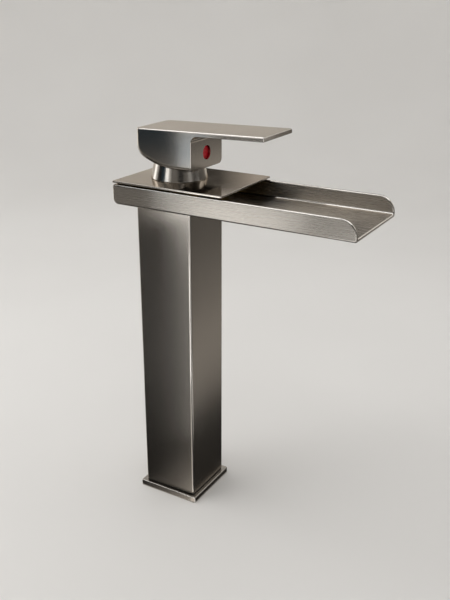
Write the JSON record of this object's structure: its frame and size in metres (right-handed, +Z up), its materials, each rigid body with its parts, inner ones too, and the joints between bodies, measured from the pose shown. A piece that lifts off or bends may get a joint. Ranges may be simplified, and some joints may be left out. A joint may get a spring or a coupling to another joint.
{
  "type": "basin faucet",
  "caption": "Tall square-column basin mixer with an open waterfall trough, cover plate, conical collar and flat single lever; lever lifts for flow and swivels for temperature.",
  "frame": {"origin": "centre of the foot's underside, on the column's axis", "axes": "+Z up the column, -Y towards the trough's lip and the lever's tip, X across the trough"},
  "size_m": [0.074, 0.1948, 0.3113],
  "materials": {
    "brushed_nickel": "fine straight brushing",
    "polished_nickel": "polished",
    "brass": "as machined",
    "steel": "turned",
    "black_rubber": "matte",
    "white_ceramic": "lapped",
    "grey_plastic": "moulded",
    "red_indicator": "gloss"
  },
  "bodies": {
    "faucet_body": {"base_plate": "brushed_nickel", "column": "brushed_nickel", "spout_trough": "brushed_nickel", "cover_plate": "polished_nickel", "collar": "polished_nickel", "inlet_block": "brass", "mixer_body": "brass", "hot_riser": "brass", "cold_riser": "brass", "cartridge_nut": "brass", "body_screws": "steel", "base_gasket": "black_rubber", "column_gasket": "black_rubber", "riser_o_rings": "black_rubber", "body_gasket": "black_rubber", "plate_gasket": "black_rubber", "port_seals": "black_rubber", "disc_seals": "black_rubber", "fixed_disc": "white_ceramic", "cartridge_housing": "grey_plastic", "cartridge_base": "grey_plastic"},
    "stem_turret": {"stem_guide": "grey_plastic", "pivot_pin": "steel"},
    "lever": {"handle": "brushed_nickel", "stem": "steel", "set_screw": "steel", "indicator_button": "red_indicator"},
    "valve_disc": {"moving_disc": "white_ceramic", "disc_carrier": "grey_plastic"}
  },
  "joints": [
    {"name": "temperature_swivel", "type": "hinge", "parent": "faucet_body", "child": "stem_turret", "pos_m": [0, 0, 0.273], "axis": [0, 0, 1], "range_deg": [-50, 50]},
    {"name": "lever_lift", "type": "hinge", "parent": "stem_turret", "child": "lever", "pos_m": [0, 0, 0.273], "axis": [-1, 0, 0], "range_deg": [0, 25]},
    {"name": "disc_slide", "type": "slide", "parent": "stem_turret", "child": "valve_disc", "axis": [0, -1, 0], "range_m": [0, 0.0047]}
  ],
  "couplings": [
    {"joint": "disc_slide", "follows": "lever_lift", "m_per_rad": 0.010654}
  ]
}
